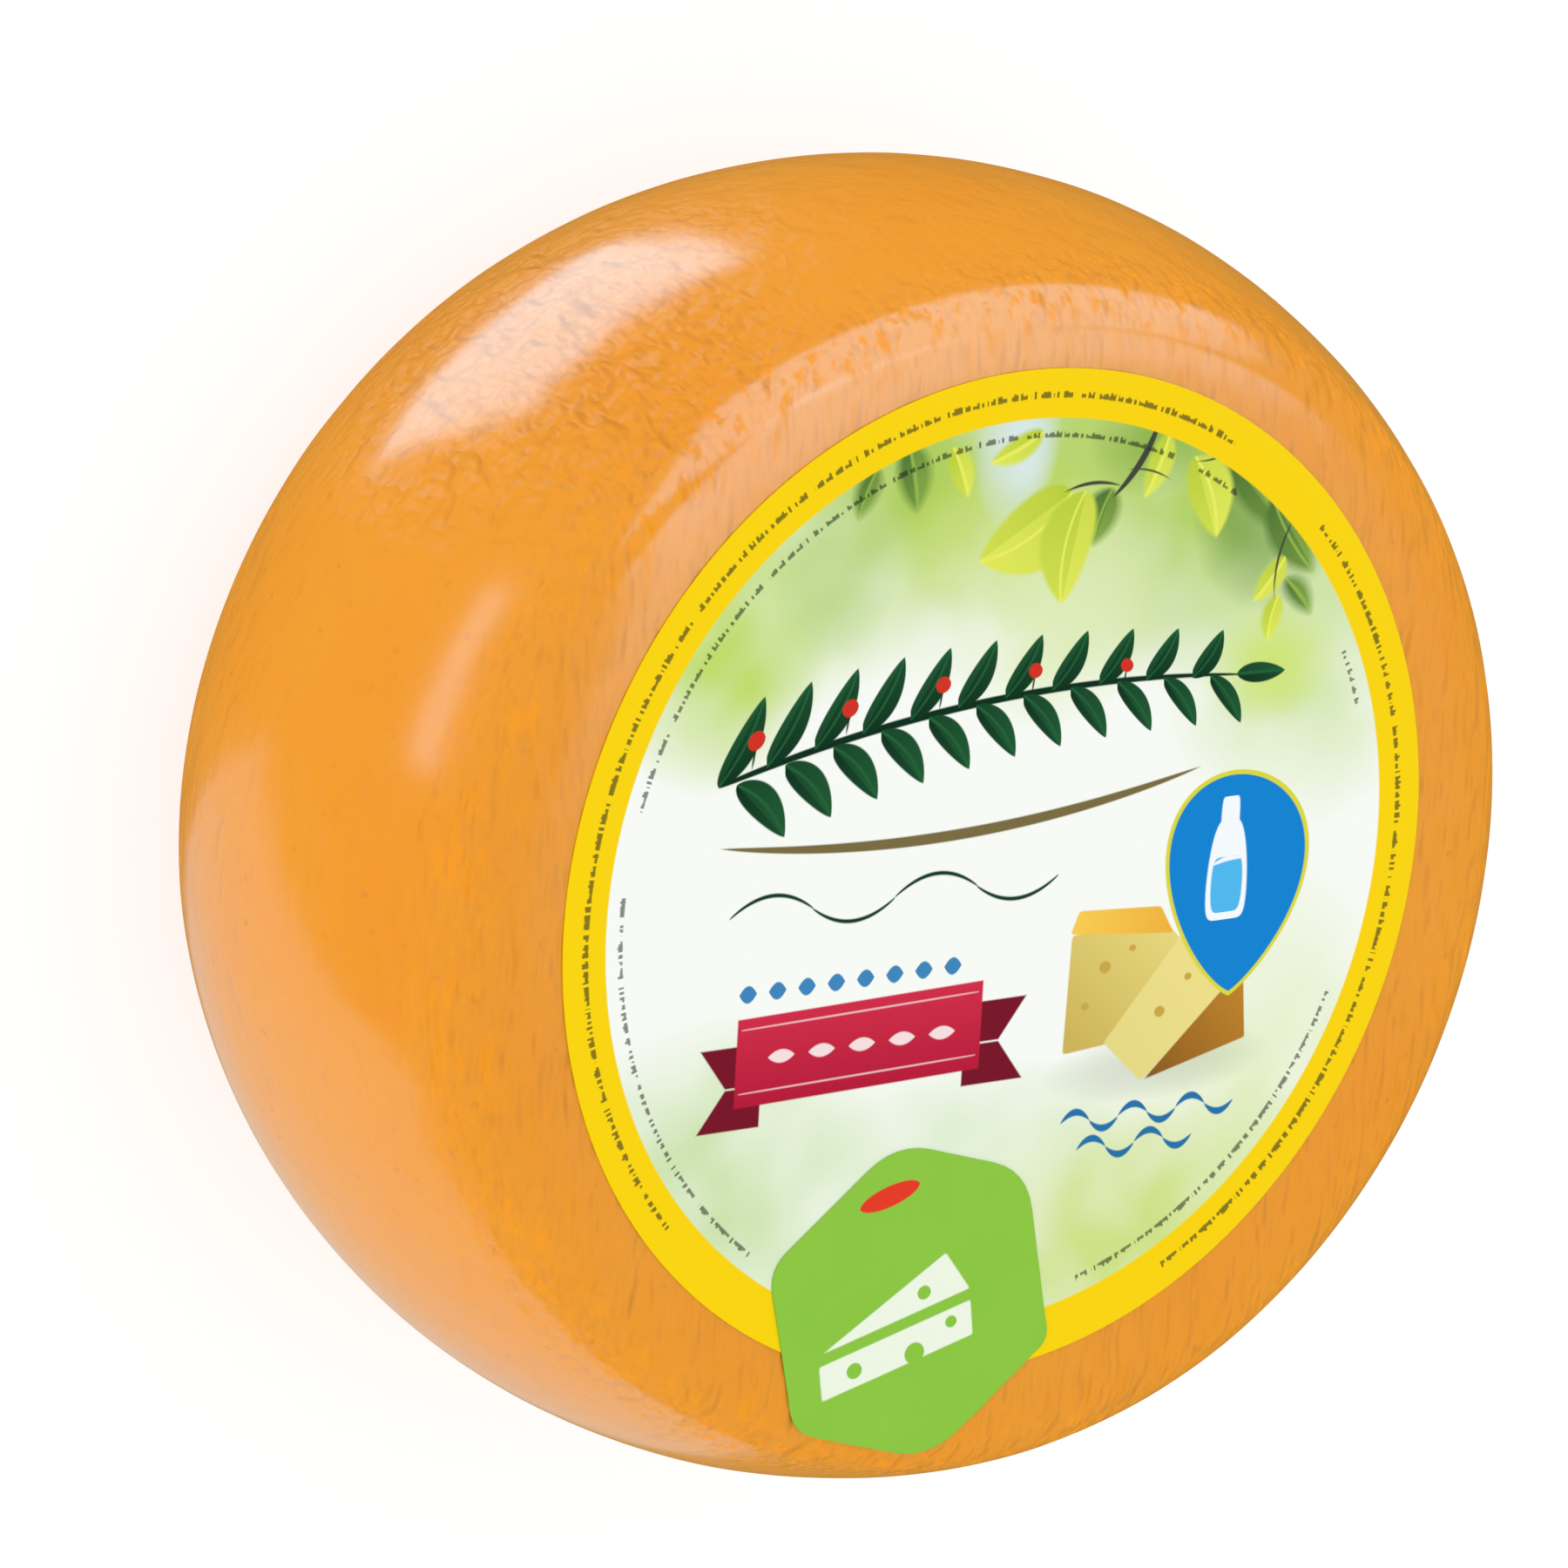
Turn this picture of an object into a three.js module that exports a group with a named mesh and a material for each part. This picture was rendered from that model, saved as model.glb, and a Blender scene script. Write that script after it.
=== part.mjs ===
// A whole wheel of semi-hard cheese in a smooth orange coating, lying on one of its two flat faces. A round
// paper label is stuck on the upper face, and a six-sided green sticker laps over the label's lower edge and
// down the wheel's shoulder.
//
// Millimetres, +Z up. The origin is the centre of the face that the wheel rests on, +X points to the label's
// right and +Y to its top.
import * as THREE from "three";

// ---- Driving dimensions ----

// The wheel has bulging sides, rounded shoulders, a gentler brow above each shoulder, and flat faces.
const MEAN_RADIUS = 125;
const HEIGHT = 102;
const SIDE_LEAN = 26.4; // degrees that the side leans in by where it meets the shoulder
const SHOULDER_LEAN = 82; // the same where the shoulder meets the brow
const SHOULDER_RADIUS = 14;
const BROW_RADIUS = 30;

// Pressed in a cloth and turned while it ripens, the wheel isn't quite round.
const OVAL = { share: 0.0188, direction: -13 };
const TRILOBE = { share: 0.006, direction: -62.3 };

// The round label.
const LABEL_RADIUS = 94.6;
const LABEL_CENTRE = new THREE.Vector2(-1.6, 2.5);
const PAPER = 0.2; // paper with its print
const GLUE = 0.05; // under each paper

// The sticker's corners, anticlockwise from the top, and how far each one's rounding runs along its sides.
const STICKER_CORNERS = [
  { at: [-21, -45.2], round: 8 },
  { at: [-47.8, -66], round: 5 },
  { at: [-40, -98.4], round: 6 },
  { at: [-9.5, -107.8], round: 6 },
  { at: [15.6, -87.6], round: 2.5 },
  { at: [8.6, -54.2], round: 8 },
];
const STICKER_MIDDLE = new THREE.Vector2(-15.8, -76.8);

// How finely round shapes are divided. The sticker's rings are closer where it bends over the shoulder.
const WHEEL_SEGMENTS = 72;
const SIDE_STEPS = 6;
const SHOULDER_STEPS = 5;
const BROW_STEPS = 2;
const LABEL_SEGMENTS = 96;
const STICKER_SEGMENTS = 72;
const STICKER_RINGS = [0, 0.35, 0.6, 0.75, 0.85, 0.93, 1];

// ---- The wheel's section ----
// Each upper quarter is three arcs that meet smoothly. An arc's angles are those of its outward normal, from
// level up.

const sideTop = THREE.MathUtils.degToRad(SIDE_LEAN);
const shoulderTop = THREE.MathUtils.degToRad(SHOULDER_LEAN);
const faceEdge = Math.PI / 2;

const rise = (radius, from, to) => radius * (Math.sin(to) - Math.sin(from));
const shoulderRise = rise(SHOULDER_RADIUS, sideTop, shoulderTop);
const browRise = rise(BROW_RADIUS, shoulderTop, faceEdge);
const sideRadius = (HEIGHT / 2 - shoulderRise - browRise) / Math.sin(sideTop);

function arcFrom(start, radius, from, to, steps) {
  const spoke = (angle) => new THREE.Vector2(Math.cos(angle), Math.sin(angle)).multiplyScalar(radius);
  const centre = start.clone().sub(spoke(from));
  const points = [];
  for (let i = 1; i <= steps; i++) points.push(spoke(THREE.MathUtils.lerp(from, to, i / steps)).add(centre));
  return { centre, radius, points, end: points.at(-1) };
}

const widest = new THREE.Vector2(MEAN_RADIUS, HEIGHT / 2);
const side = arcFrom(widest, sideRadius, 0, sideTop, SIDE_STEPS);
const shoulder = arcFrom(side.end, SHOULDER_RADIUS, sideTop, shoulderTop, SHOULDER_STEPS);
const brow = arcFrom(shoulder.end, BROW_RADIUS, shoulderTop, faceEdge, BROW_STEPS);
brow.end.y = HEIGHT; // exactly, so that the face is flat

// How much wider than its mean the wheel is in one direction.
function outOfRound(azimuth) {
  const oval = OVAL.share * Math.cos(2 * (azimuth - THREE.MathUtils.degToRad(OVAL.direction)));
  const trilobe = TRILOBE.share * Math.cos(3 * (azimuth - THREE.MathUtils.degToRad(TRILOBE.direction)));
  return 1 + oval + trilobe;
}

// The height of the wheel's upper surface over a point that lies within its shoulder.
function upperSurface(x, y) {
  const r = Math.hypot(x, y) / outOfRound(Math.atan2(y, x));
  if (r <= brow.end.x) return HEIGHT;
  const arc = r <= shoulder.end.x ? brow : shoulder;
  return arc.centre.y + Math.sqrt(arc.radius ** 2 - (r - arc.centre.x) ** 2);
}

// ---- Pieces ----

function piece(name, geometry, color, roughness) {
  const material = new THREE.MeshStandardMaterial({ color, roughness, metalness: 0 });
  const mesh = new THREE.Mesh(geometry, material);
  mesh.name = name;
  return mesh;
}

// A profile turned about +Z, with each vertex then moved. LatheGeometry turns it about Y.
function turned(profile, segments, move) {
  const geometry = new THREE.LatheGeometry(profile, segments).rotateX(Math.PI / 2);
  const position = geometry.getAttribute("position");
  const vertex = new THREE.Vector3();
  for (let i = 0; i < position.count; i++) {
    move(vertex.fromBufferAttribute(position, i));
    position.setXYZ(i, vertex.x, vertex.y, vertex.z);
  }
  return geometry;
}

function cheeseWheel() {
  const upper = [...side.points, ...shoulder.points, ...brow.points];
  const lower = upper.map((point) => new THREE.Vector2(point.x, HEIGHT - point.y)).reverse();
  const profile = [new THREE.Vector2(0, 0), ...lower, widest, ...upper, new THREE.Vector2(0, HEIGHT)];
  const geometry = turned(profile, WHEEL_SEGMENTS, (vertex) => {
    const share = outOfRound(Math.atan2(vertex.y, vertex.x));
    vertex.x *= share;
    vertex.y *= share;
  });
  return piece("cheese_wheel", geometry, "#eb9c38", 0.35);
}

function roundLabel() {
  const disc = new THREE.CylinderGeometry(LABEL_RADIUS, LABEL_RADIUS, PAPER, LABEL_SEGMENTS);
  const label = piece("round_label", disc.rotateX(Math.PI / 2), "#eef3dc", 0.55);
  label.position.set(LABEL_CENTRE.x, LABEL_CENTRE.y, HEIGHT + GLUE + PAPER / 2);
  return label;
}

// Straight sides joined by rounded corners.
function stickerOutline() {
  const corners = STICKER_CORNERS.map(({ at }) => new THREE.Vector2(...at));
  const outline = new THREE.Path();
  corners.forEach((corner, i) => {
    const { round } = STICKER_CORNERS[i];
    const pointTowards = (other) => other.clone().sub(corner).setLength(round).add(corner);
    const start = pointTowards(corners.at(i - 1));
    const end = pointTowards(corners[(i + 1) % corners.length]);
    if (i === 0) outline.moveTo(start.x, start.y);
    else outline.lineTo(start.x, start.y);
    outline.quadraticCurveTo(corner.x, corner.y, end.x, end.y);
  });
  outline.closePath();
  return outline.getSpacedPoints(STICKER_SEGMENTS);
}

// A disc of radius 1 and height 1, stretched to the outline and laid over the label and the shoulder.
function greenSticker() {
  const outline = stickerOutline();
  const under = STICKER_RINGS.map((r) => new THREE.Vector2(r, 0));
  const over = STICKER_RINGS.map((r) => new THREE.Vector2(r, 1)).reverse();
  const gapBelow = GLUE + PAPER + GLUE; // the label lies between the sticker and the wheel
  const geometry = turned([...under, ...over], STICKER_SEGMENTS, (vertex) => {
    const turn = Math.atan2(vertex.y, vertex.x) / (2 * Math.PI);
    const rim = outline[Math.round((turn + 1) * STICKER_SEGMENTS) % STICKER_SEGMENTS];
    const { x, y } = STICKER_MIDDLE.clone().lerp(rim, Math.hypot(vertex.x, vertex.y));
    vertex.set(x, y, upperSurface(x, y) + gapBelow + vertex.z * PAPER);
  });
  return piece("green_sticker", geometry, "#8bc73e", 0.5);
}

const wheel = new THREE.Group();
wheel.add(cheeseWheel(), roundLabel(), greenSticker());

export default wheel;
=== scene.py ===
"""A whole wheel of semi-hard cheese in a glossy orange coating, with a round label and a small green sticker.

The wheel lies on its lower face with its axis along +Z. Its label faces up, with its right along +X and its
top along +Y. Everything is in metres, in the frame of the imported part.
"""
import math

import bmesh
import bpy
from mathutils import Matrix, Vector
from mathutils.bvhtree import BVHTree


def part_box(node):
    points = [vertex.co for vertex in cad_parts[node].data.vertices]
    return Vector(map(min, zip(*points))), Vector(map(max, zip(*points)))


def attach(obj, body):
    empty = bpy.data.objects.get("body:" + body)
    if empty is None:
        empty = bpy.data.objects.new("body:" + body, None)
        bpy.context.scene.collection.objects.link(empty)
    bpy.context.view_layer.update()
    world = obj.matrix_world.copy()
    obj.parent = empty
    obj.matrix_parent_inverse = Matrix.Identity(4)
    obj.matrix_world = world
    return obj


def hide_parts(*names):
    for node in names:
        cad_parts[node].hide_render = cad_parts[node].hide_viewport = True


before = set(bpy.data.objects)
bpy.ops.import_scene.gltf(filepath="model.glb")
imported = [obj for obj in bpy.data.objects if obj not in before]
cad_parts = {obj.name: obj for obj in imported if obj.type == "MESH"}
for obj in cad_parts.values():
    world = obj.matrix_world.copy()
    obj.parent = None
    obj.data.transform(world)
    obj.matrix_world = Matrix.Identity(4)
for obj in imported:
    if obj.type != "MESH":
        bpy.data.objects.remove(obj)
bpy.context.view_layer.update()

MM = 0.001

# -----------------------------------------------------------------------------------------------------------
# The cheese. One solid of curd, pressed in a cloth-lined mould, salted and ripened, then brushed with coats
# of orange coating. They dry to a gloss that still shows the cloth's grain, the brush strokes, and the dents
# left by pressing and turning.
# -----------------------------------------------------------------------------------------------------------

wheel_low, wheel_high = (Vector(corner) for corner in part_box("cheese_wheel"))
wheel_size = wheel_high - wheel_low
HEIGHT = wheel_size.z
MEAN_RADIUS = (wheel_size.x + wheel_size.y) / 4
SIDE_LEAN = math.radians(26.4)  # how far the side leans in by where it meets the shoulder
SHOULDER_LEAN = math.radians(82)  # the same where the shoulder meets the gentler brow
SHOULDER_RADIUS = 14 * MM
BROW_RADIUS = 30 * MM

WHEEL_SEGMENTS = 640
SIDE_STEPS = 38
SHOULDER_STEPS = 12
BROW_STEPS = 4
FACE_RINGS = (0.985, 0.965, 0.94, 0.9, 0.8, 0.6, 0.4, 0.2, 0)  # as shares of the flat face's radius

# The coating's marks are placed and sized in millimetres. Heights are measured from halfway up the wheel.
BRUSHED_FROM = 34  # height where the side's fine strokes begin to turn into the faces' strong ones
BRUSHED_BLEND = 10
COMBED_TO = 52  # height where the uneven gloss of the rims has faded out
COMBED_BLEND = 4
STROKE_THINNING = (1, 0.28, 1)  # draws the noise out along Y into strokes
FOLD_THINNING = (1, 1, 0.5)  # draws it out along Z into upright folds
FOLDED_PLACE = (-75, 99, 56)  # where the mould's cloth was folded and left its wrinkles in the rind
FOLDED_SIZE = 52
PIT_SPACING = 6.5
PIT_RADIUS = 0.12  # as a share of the spacing


def arc(start, radius, lean_from, lean_to, steps):
    """Points of an arc after its start. The angles are those of its outward normal, from level up."""
    centre = start - radius * Vector((math.cos(lean_from), math.sin(lean_from)))
    leans = (lean_from + (lean_to - lean_from) * i / steps for i in range(1, steps + 1))
    return [centre + radius * Vector((math.cos(lean), math.sin(lean))) for lean in leans]


def rise(radius, lean_from, lean_to):
    return radius * (math.sin(lean_to) - math.sin(lean_from))


def wheel_section():
    """The half section as (distance from the axis, height), from the lower face's middle to the upper's."""
    upright = math.pi / 2
    shoulder_rise = rise(SHOULDER_RADIUS, SIDE_LEAN, SHOULDER_LEAN)
    side_rise = HEIGHT / 2 - shoulder_rise - rise(BROW_RADIUS, SHOULDER_LEAN, upright)
    widest = Vector((MEAN_RADIUS, HEIGHT / 2))
    upper = arc(widest, side_rise / math.sin(SIDE_LEAN), 0, SIDE_LEAN, SIDE_STEPS)
    upper += arc(upper[-1], SHOULDER_RADIUS, SIDE_LEAN, SHOULDER_LEAN, SHOULDER_STEPS)
    upper += arc(upper[-1], BROW_RADIUS, SHOULDER_LEAN, upright, BROW_STEPS)
    flat_radius = upper[-1].x
    upper += [Vector((flat_radius * share, HEIGHT)) for share in FACE_RINGS]
    lower = [Vector((point.x, HEIGHT - point.y)) for point in reversed(upper)]
    return [*lower, widest, *upper]


class Value:
    """The output of a node. Arithmetic on values adds Math nodes to their tree."""

    def __init__(self, nodes, socket):
        self.nodes = nodes
        self.socket = socket

    def math(self, operation, *others, clamp=False):
        settings = {"operation": operation, "use_clamp": clamp}
        return self.nodes.add("ShaderNodeMath", settings, dict(enumerate((self, *others))))

    def __add__(self, other):
        return self.math("ADD", other)

    def __radd__(self, other):
        return self.math("ADD", other)

    def __sub__(self, other):
        return self.math("SUBTRACT", other)

    def __rsub__(self, other):
        return (self * -1).math("ADD", other)

    def __mul__(self, other):
        return self.math("MULTIPLY", other)

    def __rmul__(self, other):
        return self.math("MULTIPLY", other)

    def __truediv__(self, other):
        return self.math("DIVIDE", other)

    def __pow__(self, power):
        return self.math("POWER", power)

    def __abs__(self):
        return self.math("ABSOLUTE")

    def split(self):
        """The three parts of a vector."""
        return self.nodes.add("ShaderNodeSeparateXYZ", {}, {0: self}, (0, 1, 2))


class Nodes:
    """Adds nodes to one tree."""

    def __init__(self, tree):
        self.tree = tree

    def add(self, kind, settings, inputs, outputs=0):
        """Makes a node, sets it up, fills or links its sockets, and returns the outputs asked for."""
        node = self.tree.nodes.new(kind)
        for name, setting in settings.items():
            setattr(node, name, setting)
        for key, value in inputs.items():
            if isinstance(value, Value):
                self.tree.links.new(value.socket, node.inputs[key])
            else:
                node.inputs[key].default_value = value
        if isinstance(outputs, tuple):
            return [Value(self, node.outputs[key]) for key in outputs]
        return Value(self, node.outputs[outputs])

    def mix(self, share, first, second):
        """The first colour, turning into the second as the share goes from 0 to 1."""
        return self.add("ShaderNodeMix", {"data_type": "RGBA"}, {0: share, 6: first, 7: second}, 2)

    def noise(self, place, size, detail=2.0, turn=0.0):
        """Cloudy noise from 0 to 1 with blots of one size. Another turn gives another draw."""
        inputs = {"Vector": place, "W": turn, "Scale": 1 / size, "Detail": detail}
        return self.add("ShaderNodeTexNoise", {"noise_dimensions": "4D"}, inputs)


def new_group(kind, name, inputs, outputs):
    """An empty node group with named sockets, as its nodes and a dictionary of its inputs."""
    tree = bpy.data.node_groups.new(name, kind)
    for side, sockets in (("INPUT", inputs), ("OUTPUT", outputs)):
        for socket, socket_kind in sockets.items():
            tree.interface.new_socket(socket, in_out=side, socket_type="NodeSocket" + socket_kind)
    nodes = Nodes(tree)
    names = tuple(inputs)
    return nodes, dict(zip(names, nodes.add("NodeGroupInput", {}, {}, names)))


def revolved_wheel_tree():
    """Geometry Nodes that turn a half section about +Z, press it out of round and dent its sides."""
    inputs = {
        "Section": "Geometry",
        "Segments": "Int",
        "Oval share": "Float",
        "Oval direction": "Float",
        "Trilobe share": "Float",
        "Trilobe direction": "Float",
        "Dent depth": "Float",
        "Dent size": "Float",
        "Seed": "Float",
        "Coating": "Material",
    }
    nodes, given = new_group("GeometryNodeTree", "revolved wheel", inputs, {"Wheel": "Geometry"})
    position = nodes.add("GeometryNodeInputPosition", {}, {})

    # A grid with a column for each segment, plus one to close it, and a row for each point of the section.
    rings = nodes.add("GeometryNodeAttributeDomainSize", {}, {0: given["Section"]}, "Point Count")
    grid_size = {"Vertices X": given["Segments"] + 1, "Vertices Y": rings}
    grid = nodes.add("GeometryNodeMeshGrid", {}, grid_size)
    index = nodes.add("GeometryNodeInputIndex", {}, {})
    sampled = {"Geometry": given["Section"], "Value": position, "Index": index.math("MODULO", rings)}
    point = nodes.add("GeometryNodeSampleIndex", {"data_type": "FLOAT_VECTOR"}, sampled)
    radius, _, height = point.split()

    angle = (index / rings).math("FLOOR") * math.tau / given["Segments"]
    oval = given["Oval share"] * ((angle - given["Oval direction"]) * 2).math("COSINE")
    trilobe = given["Trilobe share"] * ((angle - given["Trilobe direction"]) * 3).math("COSINE")
    reach = radius * (oval + trilobe + 1)
    place = {"X": reach * angle.math("COSINE"), "Y": reach * angle.math("SINE"), "Z": height}
    turned = nodes.add("ShaderNodeCombineXYZ", {}, place)
    wheel = nodes.add("GeometryNodeSetPosition", {}, {"Geometry": grid, "Position": turned})
    wheel = nodes.add("GeometryNodeMergeByDistance", {}, {"Geometry": wheel, "Distance": 0.01 * MM})

    # Dents fade out towards the two flat faces.
    normal = nodes.add("GeometryNodeInputNormal", {}, {})
    _, _, upright = normal.split()
    in_dents = {0: position, "Scale": given["Dent size"] ** -1}
    scaled = nodes.add("ShaderNodeVectorMath", {"operation": "SCALE"}, in_dents)
    dents = nodes.noise(scaled, 1, turn=given["Seed"]) - 0.5
    depth = dents * given["Dent depth"] * (1 - upright * upright)
    offset = nodes.add("ShaderNodeVectorMath", {"operation": "SCALE"}, {0: normal, "Scale": depth})
    wheel = nodes.add("GeometryNodeSetPosition", {}, {"Geometry": wheel, "Offset": offset})

    wheel = nodes.add("GeometryNodeSetShadeSmooth", {}, {"Geometry": wheel})
    wheel = nodes.add("GeometryNodeRealizeInstances", {}, {"Geometry": wheel})
    wheel = nodes.add("GeometryNodeSetMaterial", {}, {"Geometry": wheel, "Material": given["Coating"]})
    nodes.add("NodeGroupOutput", {}, {0: wheel}, ())
    return nodes.tree


def made_by_tree(name, base, tree, values):
    """A plain object holding the mesh that a Geometry Nodes tree makes from a base mesh."""
    maker = bpy.data.objects.new("maker", base)
    bpy.context.scene.collection.objects.link(maker)
    modifier = maker.modifiers.new(tree.name, "NODES")
    modifier.node_group = tree
    for socket in tree.interface.items_tree:
        if socket.name in values:
            modifier[socket.identifier] = values[socket.name]
    evaluated = maker.evaluated_get(bpy.context.evaluated_depsgraph_get())
    mesh = bpy.data.meshes.new_from_object(evaluated)
    bpy.data.objects.remove(maker)
    return placed(name, mesh)


def placed(name, mesh):
    mesh.name = name
    piece = bpy.data.objects.new(name, mesh)
    bpy.context.scene.collection.objects.link(piece)
    return piece


def color(code):
    """A linear colour from a web code such as #f0a030."""
    parts = (int(code[i : i + 2], 16) / 255 for i in (1, 3, 5))
    return (*(part / 12.92 if part <= 0.04045 else ((part + 0.055) / 1.055) ** 2.4 for part in parts), 1)


def new_material(name):
    """An empty material, its nodes, and the place on the piece in millimetres."""
    material = bpy.data.materials.new(name)
    material.use_nodes = True
    material.node_tree.nodes.clear()
    nodes = Nodes(material.node_tree)
    place = nodes.add("ShaderNodeTexCoord", {}, {}, "Object")
    in_mm = nodes.add("ShaderNodeVectorMath", {"operation": "SCALE"}, {0: place, "Scale": 1 / MM})
    return material, nodes, in_mm


def finish_material(nodes, relief, sockets):
    """Ends a material in a Principled shader, with the relief, in millimetres, as its bump."""
    normal = nodes.add("ShaderNodeBump", {}, {"Height": relief, "Distance": MM})
    shader = nodes.add("ShaderNodeBsdfPrincipled", {}, {**sockets, "Normal": normal})
    nodes.add("ShaderNodeOutputMaterial", {}, {"Surface": shader}, ())


def orange_coating():
    """Two shades of orange under a gloss with brush strokes along Y, folds, swells, cloth grain and pits."""
    material, nodes, place = new_material("orange coating")
    clouds = nodes.noise(place, 45, detail=3)
    paint = nodes.mix(clouds, color("#f8960a"), color("#fba41e"))
    blots = (nodes.noise(place, 16, turn=3) * 6 - 4).math("MULTIPLY", 0.5, clamp=True)
    paint = nodes.mix(blots, paint, color("#f79012"))

    # The gloss is combed by the brush where the faces turn down into the side.
    thinned = {0: place, 1: STROKE_THINNING}
    along_strokes = nodes.add("ShaderNodeVectorMath", {"operation": "MULTIPLY"}, thinned)
    _, _, height = place.split()
    from_middle = abs(height - HEIGHT / MM / 2)
    on_faces = ((from_middle - BRUSHED_FROM) / BRUSHED_BLEND).math("MULTIPLY", 1, clamp=True)
    on_rims = on_faces * ((COMBED_TO - from_middle) / COMBED_BLEND).math("MULTIPLY", 1, clamp=True)
    combed = ((nodes.noise(along_strokes, 2, turn=9) - 0.5) * 7).math("MULTIPLY", on_rims, clamp=True)

    # The folds are deep in one patch and faint in a few others.
    upright = nodes.add("ShaderNodeVectorMath", {"operation": "MULTIPLY"}, {0: place, 1: FOLD_THINNING})
    folds = abs(nodes.noise(upright, 6, turn=5) - 0.5)
    worn = (nodes.noise(place, 28, turn=6) * 4 - 2).math("MULTIPLY", 1, clamp=True)
    inputs = {"Vector": place, "Location": FOLDED_PLACE, "Scale": (FOLDED_SIZE,) * 3}
    from_folded = nodes.add("ShaderNodeMapping", {"vector_type": "TEXTURE"}, inputs)
    far = nodes.add("ShaderNodeVectorMath", {"operation": "LENGTH"}, {0: from_folded}, "Value")
    folded = (1 - far * far).math("MAXIMUM", 0)

    strokes = (nodes.noise(along_strokes, 3, detail=1, turn=1) - 0.5) * (on_faces * 1.8 + folded * 1.5 + 0.6)
    grain = nodes.noise(place, 1.2, detail=1, turn=2)
    swells = nodes.noise(place, 9, turn=8)
    from_pit = nodes.add("ShaderNodeTexVoronoi", {}, {"Vector": place, "Scale": 1 / PIT_SPACING}, "Distance")
    pits = (PIT_RADIUS - from_pit).math("MAXIMUM", 0)
    relief = strokes + grain * 0.05 + swells * 1.8 - folds * (worn * 0.5 + folded * 8) - pits * 3
    sockets = {
        "Base Color": paint,
        "Roughness": clouds * 0.15 + 0.3,
        "IOR": 1.5,
        "Subsurface Weight": 0.2,
        "Subsurface Radius": (1.0, 0.4, 0.1),
        "Subsurface Scale": 6 * MM,
        "Specular IOR Level": 0.12,
        "Coat Weight": 0.95 - combed * 0.75,
        "Coat IOR": 2.0,
        "Coat Roughness": 0.17,
    }
    finish_material(nodes, relief, sockets)
    return material


section_mesh = bpy.data.meshes.new("wheel section")
section_mesh.from_pydata([(point.x, 0, point.y) for point in wheel_section()], [], [])
wheel_values = {
    "Segments": WHEEL_SEGMENTS,
    "Oval share": 0.0188,
    "Oval direction": math.radians(-13),
    "Trilobe share": 0.006,
    "Trilobe direction": math.radians(-62.3),
    "Dent depth": 0.8 * MM,
    "Dent size": 40 * MM,
    "Seed": 7.0,
    "Coating": orange_coating(),
}
cheese = made_by_tree("coated_cheese", section_mesh, revolved_wheel_tree(), wheel_values)
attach(cheese, "root")
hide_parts("cheese_wheel")

# -----------------------------------------------------------------------------------------------------------
# The label. A disc of coated paper, printed in process colours and glued to the upper face while the coating
# is tacky. It shows a soft green garden, a yellow rim, a leafy sprig, a ribbon, a cheese and a milk drop.
# -----------------------------------------------------------------------------------------------------------

label_low, label_high = (Vector(corner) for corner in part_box("round_label"))
LABEL_RADIUS = (label_high.x - label_low.x) / 2
LABEL_MIDDLE = (label_low + label_high) / 2
PAPER = label_high.z - label_low.z
LABEL_SEGMENTS = 256
LABEL_RINGS = 24

# Places and sizes in the print are in millimetres from the label's middle.
RIM_INNER = 85.3
RIM_LINE = 89.6  # radii of the two lines of ticks
INNER_LINE = 82.2
TICK_PITCH = 0.5
TICKS_IN_GROUP = 9.7
INK_SOFTNESS = 0.3
SPRIG_START = (-63, 24)
SPRIG_LENGTH = 118
SPRIG_RISE = math.radians(4)
SPRIG_BOW = 5.5
SPRIG_PITCH = 10.4
GARDEN = (  # middle, half sizes, strength, colour
    ((0, 92), (96, 56), 1.0, "#c4dc80"),
    ((44, 74), (60, 44), 0.9, "#b4d268"),
    ((66, 40), (34, 40), 0.7, "#cae298"),
    ((-52, 64), (40, 30), 0.7, "#cbe29a"),
    ((-64, 46), (24, 24), 0.8, "#bddb5e"),
    ((-24, 78), (26, 20), 0.6, "#a6ca4a"),
    ((-2, 64), (26, 16), 0.7, "#c2da52"),
    ((-40, 60), (14, 16), 0.5, "#a8cc68"),
    ((10, 50), (26, 24), 0.85, "#dfedb8"),
    ((-2, 84), (10, 20), 0.9, "#dcebf2"),
    ((58, 34), (16, 12), 0.8, "#cfe676"),
    ((56, 64), (18, 20), 0.85, "#6f9b3c"),
    ((30, 80), (16, 12), 0.6, "#7ea83e"),
    ((34, -72), (56, 30), 0.9, "#cfe288"),
    ((64, -46), (30, 42), 0.6, "#dcebb0"),
    ((-62, -54), (44, 36), 0.85, "#cde4ae"),
    ((-6, -48), (44, 14), 0.5, "#d2e8bc"),
)
TWIGS = (  # start, end, width, bow
    ((30, 84), (20, 69), 1.7, 1.5),
    ((22, 71), (9, 71), 1.0, -1.2),
    ((23, 74), (33, 71), 0.7, 0.8),
    ((62, 62), (58, 46), 0.8, -1.5),
    ((48, 76), (38, 74), 0.7, 0.8),
)
LEAVES = (  # stalk, tip, width, bow, and whether it is in the sun
    ((-26, 84), (-23, 70), 7.0, 0.6, False),
    ((-32, 80), (-36, 70), 5.0, -0.4, False),
    ((-16, 82), (-12, 72), 5.0, 0.4, True),
    ((4, 83), (-8, 78), 5.0, 0.6, True),
    ((32, 80), (27, 68), 5.5, 0.6, True),
    ((46, 74), (60, 58), 9.0, 1.0, False),
    ((56, 66), (67, 50), 8.0, -1.0, False),
    ((38, 75), (44, 59), 9.5, 1.5, True),
    ((20, 71), (16, 60), 7.5, -0.6, False),
    ((11, 71), (-9, 60), 14.0, 2.5, True),
    ((14, 71), (10, 50), 11.5, -2.0, True),
    ((60, 54), (53, 46), 5.0, 0.5, True),
    ((60, 50), (67, 42), 4.5, 0.5, False),
    ((59, 47), (57, 38), 4.5, -0.4, True),
)


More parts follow.
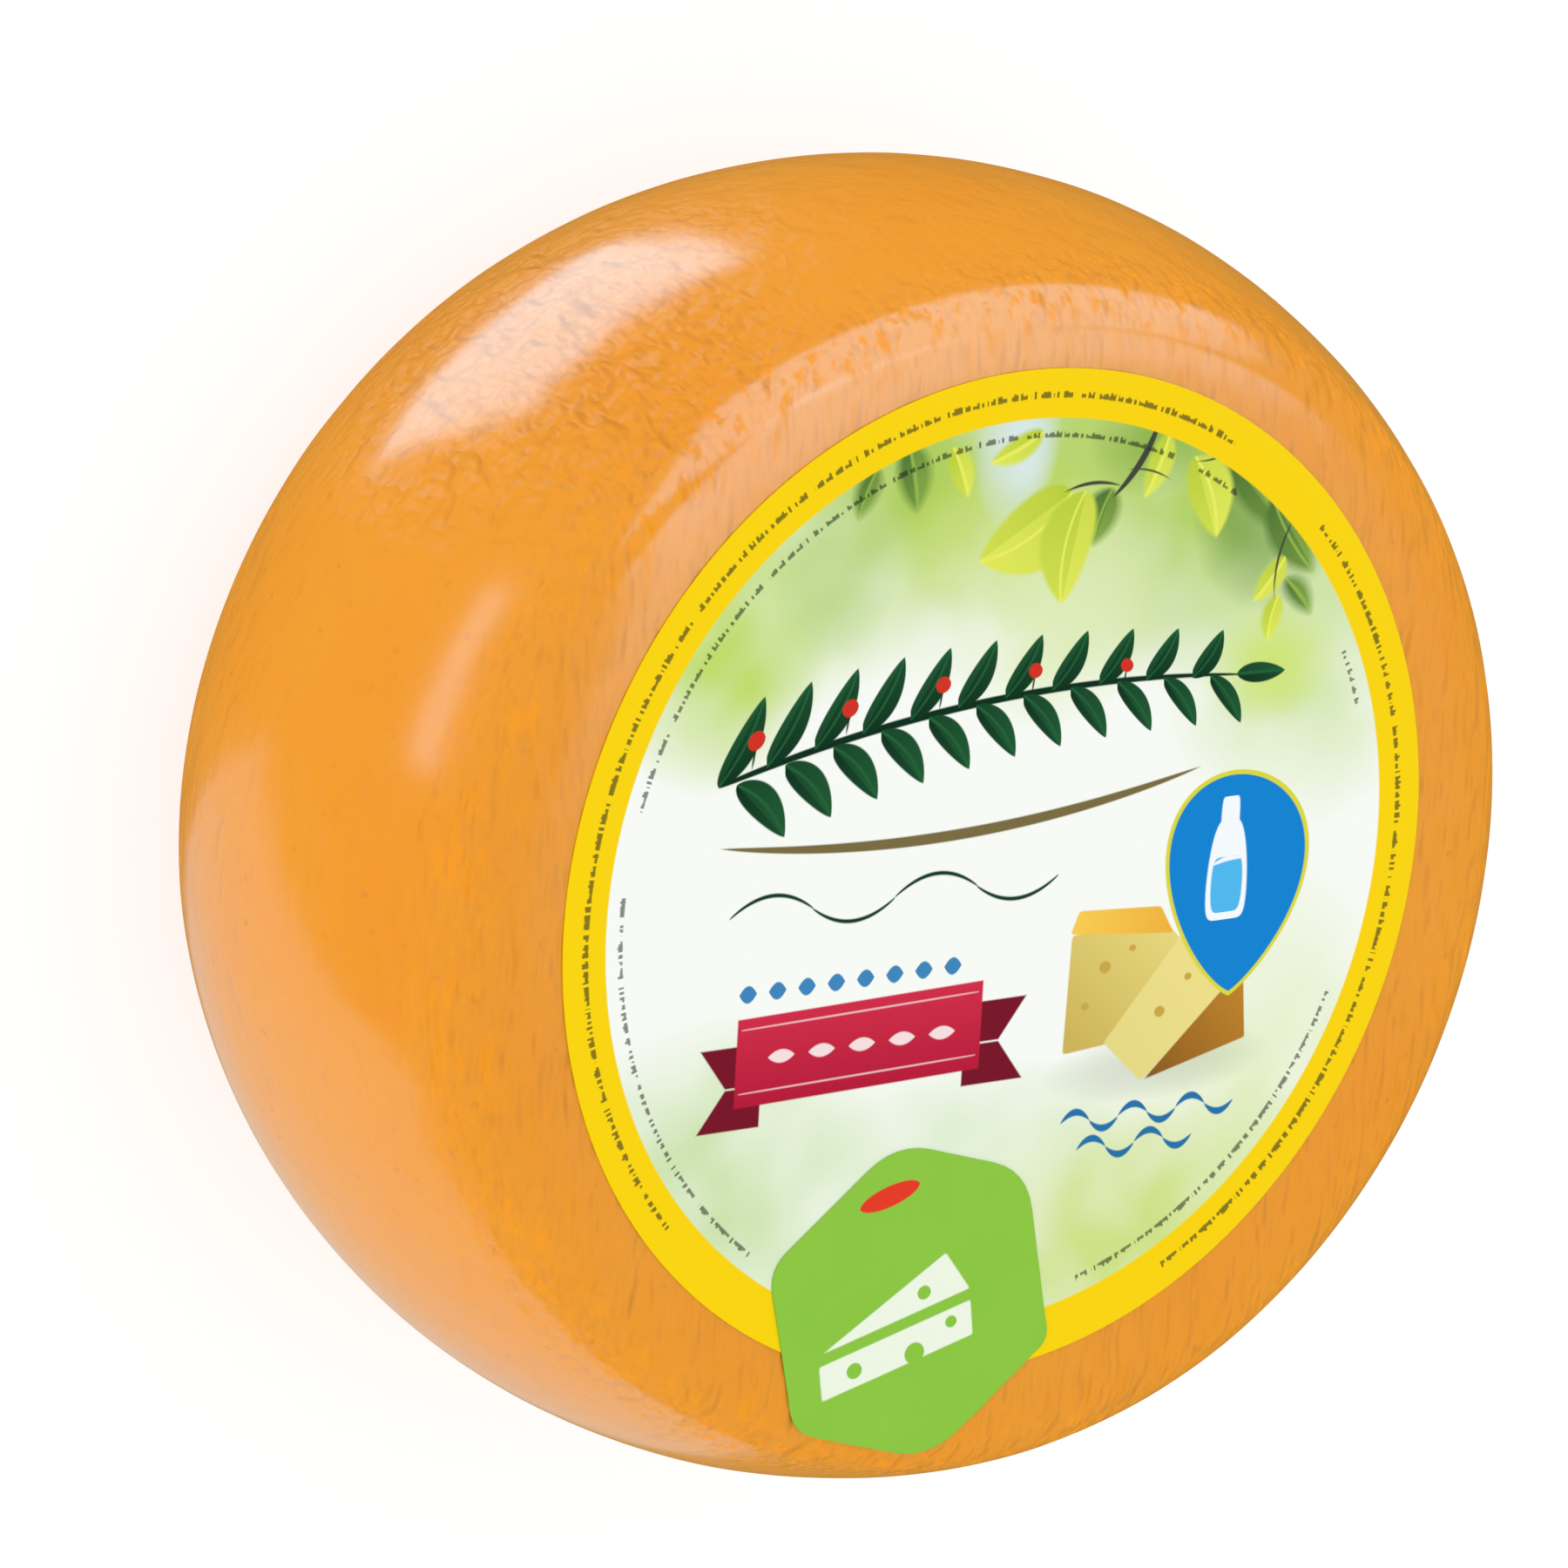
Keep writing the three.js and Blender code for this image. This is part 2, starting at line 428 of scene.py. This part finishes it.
def sheet_mesh(name, rings):
    """A closed sheet from rings of equal length, listed from the middle of its underside round to its top."""
    mesh = bpy.data.meshes.new(name)
    sheet = bmesh.new()
    loops = [[sheet.verts.new(point) for point in ring] for ring in rings]
    count = len(loops[0])
    for first, second in zip(loops, loops[1:]):
        for i in range(count):
            j = (i + 1) % count
            sheet.faces.new((first[i], second[i], second[j], first[j]))
    for loop in (loops[0], loops[-1]):
        sheet.faces.new(loop)
    bmesh.ops.recalc_face_normals(sheet, faces=sheet.faces)
    sheet.to_mesh(mesh)
    sheet.free()
    mesh.shade_smooth()
    return mesh


def label_mesh():
    """The label's sheet, cut square at its edge, with a top that the glue has cockled a little."""

    def ring(share, height):
        points = []
        for i in range(LABEL_SEGMENTS):
            angle = math.tau * i / LABEL_SEGMENTS
            cockle = abs(math.sin(5 * angle + 9 * share) * math.sin(3 * angle)) * 0.02 * MM * share
            x = LABEL_MIDDLE.x + LABEL_RADIUS * share * math.cos(angle)
            y = LABEL_MIDDLE.y + LABEL_RADIUS * share * math.sin(angle)
            points.append((x, y, label_low.z + height * (PAPER - cockle)))
        return points

    shares = [(i + 1) / LABEL_RINGS for i in range(LABEL_RINGS - 1)]
    under = [ring(share, 0) for share in (*shares, 0.9985)]
    edge = [ring(1, 0.2), ring(1, 0.8)]
    over = [ring(share, 1) for share in (0.9985, *reversed(shares))]
    return sheet_mesh("round label", [*under, *edge, *over])


def stroke_group():
    """Lays one leaf, lens or stroke of ink, which runs along X of its own frame and tapers to its ends."""
    inputs = {
        "Under": "Color",
        "Place": "Vector",
        "Start": "Vector",
        "Rotation": "Vector",
        "Scale": "Vector",
        "Reach": "Float",
        "Bow": "Float",
        "Start power": "Float",
        "End power": "Float",
        "Dark": "Color",
        "Light": "Color",
        "Vein": "Float",
        "Softness": "Float",
    }
    nodes, given = new_group("ShaderNodeTree", "stroke", inputs, {"Paint": "Color"})
    frame_inputs = {
        "Vector": given["Place"],
        "Location": given["Start"],
        "Rotation": given["Rotation"],
        "Scale": given["Scale"],
    }
    own = nodes.add("ShaderNodeMapping", {"vector_type": "TEXTURE"}, frame_inputs)
    along, across, _ = own.split()
    rest = 1 - along
    inside = along.math("GREATER_THAN", 0) * rest.math("GREATER_THAN", 0)
    body = along.math("MAXIMUM", 0) ** given["Start power"] * rest.math("MAXIMUM", 0) ** given["End power"]
    away = abs(across - along * rest * given["Bow"] * 4)
    mask = (body * given["Reach"] - away).math("DIVIDE", given["Softness"], clamp=True) * inside
    vein = (1 - away * 2.4).math("MAXIMUM", 0) * given["Vein"]
    side = (across.math("GREATER_THAN", 0) * 0.35 + along * 0.5) * given["Vein"]
    paint = nodes.mix((vein + side).math("MINIMUM", 1), given["Dark"], given["Light"])
    nodes.add("NodeGroupOutput", {}, {0: nodes.mix(mask, given["Under"], paint)}, ())
    return nodes.tree


def glow_group():
    """Lays one soft blot of ink, strongest in its middle and gone at its size."""
    inputs = {
        "Under": "Color",
        "Place": "Vector",
        "Middle": "Vector",
        "Scale": "Vector",
        "Strength": "Float",
        "Paint": "Color",
    }
    nodes, given = new_group("ShaderNodeTree", "glow", inputs, {"Paint": "Color"})
    frame_inputs = {"Vector": given["Place"], "Location": given["Middle"], "Scale": given["Scale"]}
    own = nodes.add("ShaderNodeMapping", {"vector_type": "TEXTURE"}, frame_inputs)
    far = nodes.add("ShaderNodeVectorMath", {"operation": "LENGTH"}, {0: own}, "Value")
    near = (1 - far * far).math("MAXIMUM", 0)
    share = (near * given["Strength"]).math("MINIMUM", 1)
    nodes.add("NodeGroupOutput", {}, {0: nodes.mix(share, given["Under"], given["Paint"])}, ())
    return nodes.tree


class Print:
    """Inks laid one over another on a sheet of paper."""

    stroke_tree = stroke_group()
    glow_tree = glow_group()

    def __init__(self, nodes, place, paper):
        self.nodes = nodes
        self.place = place
        self.paint = paper

    def ink(self, mask, paint):
        self.paint = self.nodes.mix(mask, self.paint, paint)

    def glow(self, middle, size, strength, paint):
        inputs = {
            "Under": self.paint,
            "Place": self.place,
            "Middle": (*middle, 0),
            "Scale": (*size, 1),
            "Strength": strength,
            "Paint": paint,
        }
        self.paint = self.nodes.add("ShaderNodeGroup", {"node_tree": self.glow_tree}, inputs)

    def stroke(
        self, start, end, width, paint, bow=0, ends=(0.5, 0.5), light=None, place=None, soft=INK_SOFTNESS
    ):
        """A leaf, lens or stroke. Larger powers make sharper ends. A light colour makes it a veined leaf."""
        run = Vector(end) - Vector(start)
        peak = ends[0] / (ends[0] + ends[1])
        tallest = peak ** ends[0] * (1 - peak) ** ends[1]
        inputs = {
            "Under": self.paint,
            "Place": place or self.place,
            "Start": (*start, 0),
            "Rotation": (0, 0, math.atan2(run.y, run.x)),
            "Scale": (run.length, 1, 1),
            "Reach": width / 2 / tallest,
            "Bow": bow,
            "Start power": ends[0],
            "End power": ends[1],
            "Dark": paint,
            "Light": light or paint,
            "Vein": 1.0 if light else 0.0,
            "Softness": soft,
        }
        self.paint = self.nodes.add("ShaderNodeGroup", {"node_tree": self.stroke_tree}, inputs)

    def spot(self, middle, width, paint):
        start = Vector(middle) - Vector((width / 2, 0))
        self.stroke(start, start + Vector((width, 0)), width, paint)

    def row(self, start, pitch, count, shrink=0.0, turn=0.0, bow=0.0):
        """The place within one cell of a row along X, so that a stroke laid there is repeated. The row may be
        turned and bowed, and each cell may be smaller than the one before by a share of the first."""
        nodes = self.nodes
        inputs = {"Vector": self.place, "Location": (*start, 0), "Rotation": (0, 0, turn)}
        x, y, _ = nodes.add("ShaderNodeMapping", {"vector_type": "TEXTURE"}, inputs).split()
        if bow:
            share = x / (pitch * count)
            y = y - share * (1 - share) * (4 * bow)
        cell = (x / pitch).math("FLOOR").math("MAXIMUM", 0).math("MINIMUM", count - 1)
        own = nodes.add("ShaderNodeCombineXYZ", {}, {"X": x - cell * pitch, "Y": y})
        size = (1 - cell * shrink) ** -1
        return nodes.add("ShaderNodeVectorMath", {"operation": "SCALE"}, {0: own, "Scale": size})

    def facet(self, corners, paint, rounding=0.0):
        """A convex shape whose corners run anticlockwise."""
        inside = None
        for start, end in zip(corners, corners[1:] + corners[:1]):
            run = (Vector(end) - Vector(start)).normalized()
            inward = (-run.y, run.x, 0)
            inputs = {0: self.place, 1: inward}
            across = self.nodes.add("ShaderNodeVectorMath", {"operation": "DOT_PRODUCT"}, inputs, "Value")
            depth = across - (run.x * start[1] - run.y * start[0])
            inside = depth if inside is None else inside.math("SMOOTH_MIN", depth, rounding)
        self.ink(inside.math("DIVIDE", INK_SOFTNESS, clamp=True), paint)

    def ramp(self, start, end):
        """A share that goes from 0 at one point to 1 at another."""
        run = Vector(end) - Vector(start)
        inputs = {0: self.place, 1: (*(run / run.length_squared), 0)}
        dot = self.nodes.add("ShaderNodeVectorMath", {"operation": "DOT_PRODUCT"}, inputs, "Value")
        return dot.math("SUBTRACT", run.dot(Vector(start)) / run.length_squared, clamp=True)


def print_garden(sheet):
    """A garden out of focus, with sunlit leaves on a twig that hangs in from the top right."""
    clouds = sheet.nodes.noise(sheet.place, 17, detail=1) * 1.5 + 0.25
    for middle, size, strength, code in GARDEN:
        sheet.glow(middle, size, clouds * strength, color(code))
    for start, end, width, bow, sunlit in LEAVES:
        dark, light, soft = ("#b9cf3a", "#e8ee5e", 1.1) if sunlit else ("#4c7430", "#90b44c", 2.2)
        sheet.stroke(start, end, width + soft, color(dark), bow, (0.55, 0.75), color(light), soft=soft)
    for start, end, width, bow in TWIGS:
        sheet.stroke(start, end, width, color("#45463a"), bow)


def print_sprig(sheet):
    """A dark green sprig with red berries, over a fine olive rule and a thin green wave."""
    ink, light = color("#04321a"), color("#1f6136")
    count = round(SPRIG_LENGTH / SPRIG_PITCH)
    stem = sheet.row(SPRIG_START, SPRIG_LENGTH, 1, 0, SPRIG_RISE, SPRIG_BOW)
    sheet.stroke((0, 0), (SPRIG_LENGTH, 0), 1.8, ink, 0, (0.2, 0.4), place=stem)
    sheet.stroke((SPRIG_LENGTH - 4, 0), (SPRIG_LENGTH + 7, 1), 4.2, ink, 0, (0.6, 0.8), light, stem)
    for side, offset in ((1, 0), (-1, 4)):
        start = (SPRIG_START[0] + offset, SPRIG_START[1])
        leaves = sheet.row(start, SPRIG_PITCH, count, 0.032, SPRIG_RISE, SPRIG_BOW)
        sheet.stroke((0, 0), (10.2, 13.5 * side), 6.2, ink, -side * 1.3, (0.6, 0.8), light, leaves)
    berries = sheet.row(SPRIG_START, 2 * SPRIG_PITCH, count // 2, 0.064, SPRIG_RISE, SPRIG_BOW)
    sheet.stroke((7.2, 0.5), (8.2, 5), 0.8, ink, place=berries)
    sheet.stroke((6.4, 5.6), (10.2, 5.6), 3.8, color("#d3301f"), place=berries)
    sheet.stroke((-62, 12.5), (44, 16), 2.4, color("#7a6c40"), -5)
    wave = sheet.row((-59, -1), 36, 2)
    for start, bow in ((0, 3.4), (18, -3.4)):
        sheet.stroke((start, 0), (start + 18.2, 0), 1.1, color("#0a3f24"), bow, (0.2, 0.2), place=wave)


def print_ribbon(sheet):
    """A plain red ribbon with folded tails, and a row of small blue lozenges over it."""
    red, shade = color("#b51235"), color("#7a0c26")
    for fork, inner, outer, middle in ((-58, -50, -64, -33), (2, -6, 8, -31)):
        for half in (-8, 8):
            tail = [(fork, middle), (inner, middle), (inner, middle + half), (outer, middle + half)]
            sheet.facet(tail if (inner - outer) * half > 0 else tail[::-1], shade)
    glossy = sheet.nodes.mix(sheet.ramp((0, -37), (0, -19)), red, color("#d22a48"))
    sheet.facet([(-56, -37), (-2, -36), (-2, -19), (-56, -20)], glossy)
    for height in (-22.2, -34.2):
        sheet.stroke((-55, height), (-3, height + 1), 0.6, color("#f0c9cd"), 0, (0.1, 0.1))
    dashes = sheet.row((-50, -28), 8.8, 5)
    sheet.stroke((1, 0), (7, 0), 2.8, color("#f6dfe0"), 0, (0.9, 0.9), place=dashes)
    lozenges = sheet.row((-57, -15.6), 6.4, 8)
    sheet.stroke((1, 0), (5, 0), 3.6, color("#3c86bd"), 0, (1, 1), place=lozenges)


def print_cheese(sheet):
    """Two cut pieces of cheese that lean together, with two rows of small blue waves under them."""
    nodes = sheet.nodes
    rind = nodes.mix(sheet.ramp((18, -9), (42, -18)), color("#f9cc50"), color("#edae34"))
    face = nodes.mix(sheet.ramp((38, -12), (19, -34)), color("#e8d87c"), color("#cdb458"))
    lit = nodes.mix(sheet.ramp((50, -20), (28, -38)), color("#efe08a"), color("#e6d984"))
    shade = nodes.mix(sheet.ramp((56, -26), (38, -42)), color("#c08428"), color("#8f5c18"))
    sheet.glow((38, -40), (26, 7), 0.45, color("#9fae7c"))
    sheet.facet([(16.4, -35.8), (26.5, -35), (42.5, -17), (37, -11.5), (17, -13)], face, 1.2)
    sheet.facet([(16.3, -13.6), (35, -15), (40.5, -15.6), (37, -9.6), (18.4, -8.4)], rind, 1.0)
    sheet.facet([(25.5, -34.5), (34.5, -43), (57, -26), (42, -15.5)], lit, 0.8)
    sheet.facet([(34.8, -43), (58, -37.4), (56.8, -25), (53.5, -26)], shade, 0.8)
    holes = (((25, -20), 2.6), ((31, -17), 1.6), ((21, -27), 1.8), ((38, -30), 2.4), ((44, -24), 1.7))
    for middle, width in holes:
        sheet.spot(middle, width, color("#c9a845"))
    for start, count in (((17, -49), 3), ((21, -54.5), 2)):
        waves = sheet.row(start, 13, count)
        for half, bow in ((0, 1.9), (6.5, -1.9)):
            sheet.stroke((half, 0), (half + 6.7, 0), 1.7, color("#2273ab"), bow, place=waves)


def print_drop(sheet):
    """A blue drop with a thin yellow edge and a small white bottle of milk on it."""
    for paint, grow in (("#dcd83a", 0.9), ("#0783d2", 0)):
        sheet.stroke((53.5, -28 - grow), (50.5, 13.5 + grow), 31 + 2 * grow, color(paint), -2, (0.8, 0.5))
    white, milk = color("#f4fafd"), color("#4fb8ee")
    sheet.stroke((51.4, -14), (51.4, 5.5), 9.5, white, 0, (0.12, 0.3))
    sheet.stroke((51.4, 0), (51.4, 9.5), 4.4, white, 0, (0.1, 0.08))
    sheet.stroke((51.4, -12.6), (51.4, -2), 7.4, milk, 0, (0.12, 0.12))
    sheet.stroke((47.8, -3.4), (55, -2.6), 1.2, white, 0.6)


def print_fine_line(sheet, radius, tallest, gaps):
    """A broken line of tiny ticks of uneven height round the label, with gaps given as pairs of degrees."""
    nodes = sheet.nodes
    x, y, _ = sheet.place.split()
    angle = y.math("ARCTAN2", x)
    far = nodes.add("ShaderNodeVectorMath", {"operation": "LENGTH"}, {0: sheet.place}, "Value")
    tick = angle * (radius / TICK_PITCH)
    each = {"W": tick.math("FLOOR")}
    draw = nodes.add("ShaderNodeTexWhiteNoise", {"noise_dimensions": "1D"}, each, "Value")
    away = abs(far - radius - draw * 0.4 + 0.2)
    shown = ((draw * 0.7 + 0.3) * (tallest / 2) - away).math("DIVIDE", INK_SOFTNESS, clamp=True)
    in_group = (tick / TICKS_IN_GROUP).math("FRACT").math("LESS_THAN", 0.88)
    shown = shown * draw.math("GREATER_THAN", 0.25) * in_group
    for start, end in gaps:
        inside = angle.math("GREATER_THAN", math.radians(start)) * angle.math("LESS_THAN", math.radians(end))
        shown = shown * (1 - inside)
    sheet.ink(shown * 0.75, color("#20281c"))


def label_paper():
    """Coated paper with the whole print on it, cockled a little by the glue."""
    material, nodes, place = new_material("printed label paper")
    inputs = {"Vector": place, "Location": tuple(LABEL_MIDDLE / MM)}
    on_label = nodes.add("ShaderNodeMapping", {"vector_type": "TEXTURE"}, inputs)
    sheet = Print(nodes, on_label, color("#f8fbf5"))
    print_garden(sheet)
    print_sprig(sheet)
    print_ribbon(sheet)
    print_cheese(sheet)
    print_drop(sheet)
    far = nodes.add("ShaderNodeVectorMath", {"operation": "LENGTH"}, {0: on_label}, "Value")
    sheet.ink((far - RIM_INNER).math("DIVIDE", INK_SOFTNESS, clamp=True), color("#fad500"))
    print_fine_line(sheet, RIM_LINE, 1.7, ((-140, -62), (41, 58)))
    print_fine_line(sheet, INNER_LINE, 1.5, ((62, 66), (165, 176), (-128, -74), (-22, 17), (25, 54)))
    grain = nodes.noise(place, 0.6, detail=1)
    cockles = nodes.noise(place, 22)
    sockets = {"Base Color": sheet.paint, "Roughness": grain * 0.12 + 0.5, "Specular IOR Level": 0.06}
    finish_material(nodes, grain * 0.012 + cockles * 0.3, sockets)
    return material


label = placed("printed_label", label_mesh())
label.data.materials.append(label_paper())
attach(label, "root")
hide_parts("round_label")

# -----------------------------------------------------------------------------------------------------------
# The sticker. Six-sided and cut from matt coated paper, printed bright green with a red lens and a white
# wedge of cheese. It is stuck on by hand over the label's lower edge, and bends down over the shoulder.
# -----------------------------------------------------------------------------------------------------------

STICKER_CORNERS = (  # place in mm, and how far the rounding runs along the sides; anticlockwise from the top
    ((-21, -45.2), 8),
    ((-47.8, -66), 5),
    ((-40, -98.4), 6),
    ((-9.5, -107.8), 6),
    ((15.6, -87.6), 2.5),
    ((8.6, -54.2), 8),
)
STICKER_MIDDLE = Vector((-15.8, -76.8))
STICKER_GAP = 0.3 * MM  # from the coating to its underside, with the label and two films of glue between them
STEP_LENGTH = 3 * MM  # how far past the label's edge the sticker settles, and by how much
STEP_DROP = 0.12 * MM
EDGE_LIFT = 0.05 * MM  # its lower edge lifts in small waves
LIFTED_BELOW = -84
STICKER_RINGS = 48
ROUNDING_STEPS = 6
SIDE_POINTS = 26


def sticker_outline():
    """Straight sides joined by rounded corners, in millimetres."""
    points = []
    corners = [Vector(corner) for corner, _ in STICKER_CORNERS]
    for i, corner in enumerate(corners):
        rounding = STICKER_CORNERS[i][1]
        start = corner + (corners[i - 1] - corner).normalized() * rounding
        end = corner + (corners[(i + 1) % len(corners)] - corner).normalized() * rounding
        if points:
            points += [points[-1].lerp(start, step / SIDE_POINTS) for step in range(1, SIDE_POINTS)]
        for step in range(ROUNDING_STEPS + 1):
            share = step / ROUNDING_STEPS
            points.append(start.lerp(corner, share).lerp(corner.lerp(end, share), share))
    points += [points[-1].lerp(points[0], step / SIDE_POINTS) for step in range(1, SIDE_POINTS)]
    return points


def draped_sticker(name, under_mesh):
    """The sticker's sheet, laid on the coating with a low step where it crosses the label's edge."""
    points = [vertex.co for vertex in under_mesh.vertices]
    tree = BVHTree.FromPolygons(points, [face.vertices for face in under_mesh.polygons])
    outline = sticker_outline()

    def ring(share, height, inset=0.0):
        points = []
        for rim in outline:
            spot = STICKER_MIDDLE.lerp(rim, share)
            spot = spot - (rim - STICKER_MIDDLE).normalized() * inset
            x, y = spot * MM
            surface = tree.ray_cast(Vector((x, y, 2 * HEIGHT)), Vector((0, 0, -1)))[0]
            beyond = math.hypot(x - LABEL_MIDDLE.x, y - LABEL_MIDDLE.y) - LABEL_RADIUS
            settled = min(max(beyond / STEP_LENGTH, 0), 1) * STEP_DROP
            lift = EDGE_LIFT * share**6 * (1 + math.sin(spot.x * 0.9)) if spot.y < LIFTED_BELOW else 0
            points.append((x, y, surface.z + STICKER_GAP - settled + lift + height))
        return points

    shares = [(i + 1) / STICKER_RINGS for i in range(STICKER_RINGS - 1)]
    under = [ring(share, 0) for share in (*shares, 1)]
    edge = [ring(1, height * PAPER) for height in (0.3, 0.7)]
    over = [ring(1, PAPER, 0.06)] + [ring(share, PAPER) for share in reversed(shares)]
    return sheet_mesh(name, [*under, *edge, *over])


def sticker_paper():
    """Matt green paper with a red lens and a white wedge of cheese with holes."""
    material, nodes, place = new_material("printed sticker paper")
    clouds = nodes.noise(place, 14)
    sheet = Print(nodes, place, nodes.mix(clouds, color("#87c43a"), color("#90cb42")))
    sheet.stroke((-28.4, -57), (-15.4, -53.6), 4.4, color("#e6371c"))
    white = color("#eef7e4")
    sheet.facet([(-34.4, -93), (-1.4, -84.4), (-2.4, -77.4), (-35.6, -86)], white, 0.8)
    sheet.facet([(-35.8, -84), (-2.6, -75.4), (-8.6, -67.6)], white, 0.8)
    holes = (((-27.6, -87.8), 3.4), ((-14.4, -86.2), 4.4), ((-6.6, -81.2), 2.6), ((-13, -74.8), 3))
    for middle, width in holes:
        sheet.spot(middle, width, color("#8ac73e"))
    grain = nodes.noise(place, 0.5, detail=1)
    fibres = nodes.noise(place, 3, detail=3, turn=4)
    sockets = {"Base Color": sheet.paint, "Roughness": grain * 0.15 + 0.5, "Specular IOR Level": 0.1}
    finish_material(nodes, grain * 0.015 + fibres * 0.08, sockets)
    return material


sticker = placed("green_sticker_sheet", draped_sticker("sticker sheet", cheese.data))
sticker.data.materials.append(sticker_paper())
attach(sticker, "root")
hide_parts("green_sticker")

# -----------------------------------------------------------------------------------------------------------
# The studio. A plain white floor and an even white sky, with softboxes that shape the gloss and show only
# in it. The floor and the sky are lit evenly from all sides, so the wheel casts hardly any shadow.
# -----------------------------------------------------------------------------------------------------------

FLOOR_SIZE = 12
SOFTBOX_TINT = (0.4, 0.75, 1.0)
SOFTBOXES = (  # name, azimuth, elevation, distance, width, height, radiance, roll
    ("high softbox", 68, 31, 1.2, 2.0, 1.22, 1.65, 0),
    ("top softbox", 30, 66, 1.2, 1.15, 0.57, 1.6, 20),
    ("low softbox", 97, -47.5, 1.2, 0.7, 0.62, 2.9, 0),
    ("strip light", 156, -8, 1.2, 0.62, 0.14, 1.7, 0),
    ("low card", -110, -45, 1.5, 2.2, 1.8, 0.5, 0),
)
CAMERA_AZIMUTH = math.radians(-115.9)  # of the camera's level axis
CAMERA_TILT = math.radians(38.07)
CAMERA_ROLL = math.radians(114.17)
CAMERA_OFFSET = Vector((-11.34, 6.19, 2500)) * MM  # from the wheel's middle, along the camera's own axes
wheel_middle = Vector((0, 0, HEIGHT / 2))


def studio_floor():
    mesh = bpy.data.meshes.new("studio floor")
    reach = FLOOR_SIZE / 2
    corners = [(-reach, -reach, 0), (reach, -reach, 0), (reach, reach, 0), (-reach, reach, 0)]
    mesh.from_pydata(corners, [], [(0, 1, 2, 3)])
    material, nodes, place = new_material("studio floor")
    grain = nodes.noise(place, 30)
    white = {"Base Color": (0.3, 0.3, 0.3, 1), "Roughness": 0.9, "Emission Color": (1, 1, 1, 1)}
    finish_material(nodes, grain * 0.01, {**white, "Emission Strength": 0.75})
    mesh.materials.append(material)
    floor = placed("studio_floor", mesh)
    floor.visible_glossy = False
    floor.visible_shadow = False


def softbox(name, azimuth, elevation, distance, width, height, radiance, roll):
    """A rectangular light that faces the wheel from one direction and shows only in its gloss."""
    light = bpy.data.lights.new(name, "AREA")
    light.shape = "RECTANGLE"
    light.size = width
    light.size_y = height
    light.energy = radiance * width * height * math.pi
    light.color = SOFTBOX_TINT
    box = bpy.data.objects.new(name, light)
    level = math.cos(math.radians(elevation))
    direction = Vector((
        level * math.cos(math.radians(azimuth)),
        level * math.sin(math.radians(azimuth)),
        math.sin(math.radians(elevation)),
    ))
    box.location = wheel_middle + distance * direction
    upright = direction.to_track_quat("Z", "Y").to_matrix()
    box.rotation_euler = (upright @ Matrix.Rotation(math.radians(roll), 3, "Z")).to_euler()
    box.visible_camera = False
    box.visible_diffuse = False
    bpy.context.scene.collection.objects.link(box)


def studio_sky():
    """White light from all round. The gloss sees it as a dim warm tone, so the coating keeps its colour."""
    world = bpy.data.worlds.new("studio sky")
    bpy.context.scene.world = world
    world.use_nodes = True
    world.node_tree.nodes.clear()
    nodes = Nodes(world.node_tree)
    in_gloss = nodes.add("ShaderNodeLightPath", {}, {}, "Is Glossy Ray")
    direction = nodes.add("ShaderNodeTexCoord", {}, {}, "Generated")
    _, _, height = direction.split()
    upper = (height * 2 + 0.5).math("MULTIPLY", 1, clamp=True)
    gloss_tone = nodes.mix(upper, (0.32, 0.19, 0.05, 1), (0.2, 0.2, 0.08, 1))
    tone = nodes.mix(in_gloss, (1, 1, 1, 1), gloss_tone)
    background = nodes.add("ShaderNodeBackground", {}, {"Color": tone, "Strength": 1.0})
    nodes.add("ShaderNodeOutputWorld", {}, {"Surface": background}, ())


studio_floor()
studio_sky()
for settings in SOFTBOXES:
    softbox(*settings)

# The camera looks down on the label from beyond the wheel's upper left.
camera_data = bpy.data.cameras.new("camera")
camera_data.sensor_width = 36
camera_data.lens = 312
camera_data.clip_end = 100
camera = bpy.data.objects.new("camera", camera_data)
around = Matrix.Rotation(CAMERA_AZIMUTH, 4, "Z")
tilt = Matrix.Rotation(CAMERA_TILT, 4, "X")
roll = Matrix.Rotation(CAMERA_ROLL, 4, "Z")
aim = Matrix.Translation(CAMERA_OFFSET)
camera.matrix_world = Matrix.Translation(wheel_middle) @ around @ tilt @ roll @ aim
bpy.context.scene.collection.objects.link(camera)
bpy.context.scene.camera = camera
bpy.context.scene.view_settings.view_transform = "Standard"
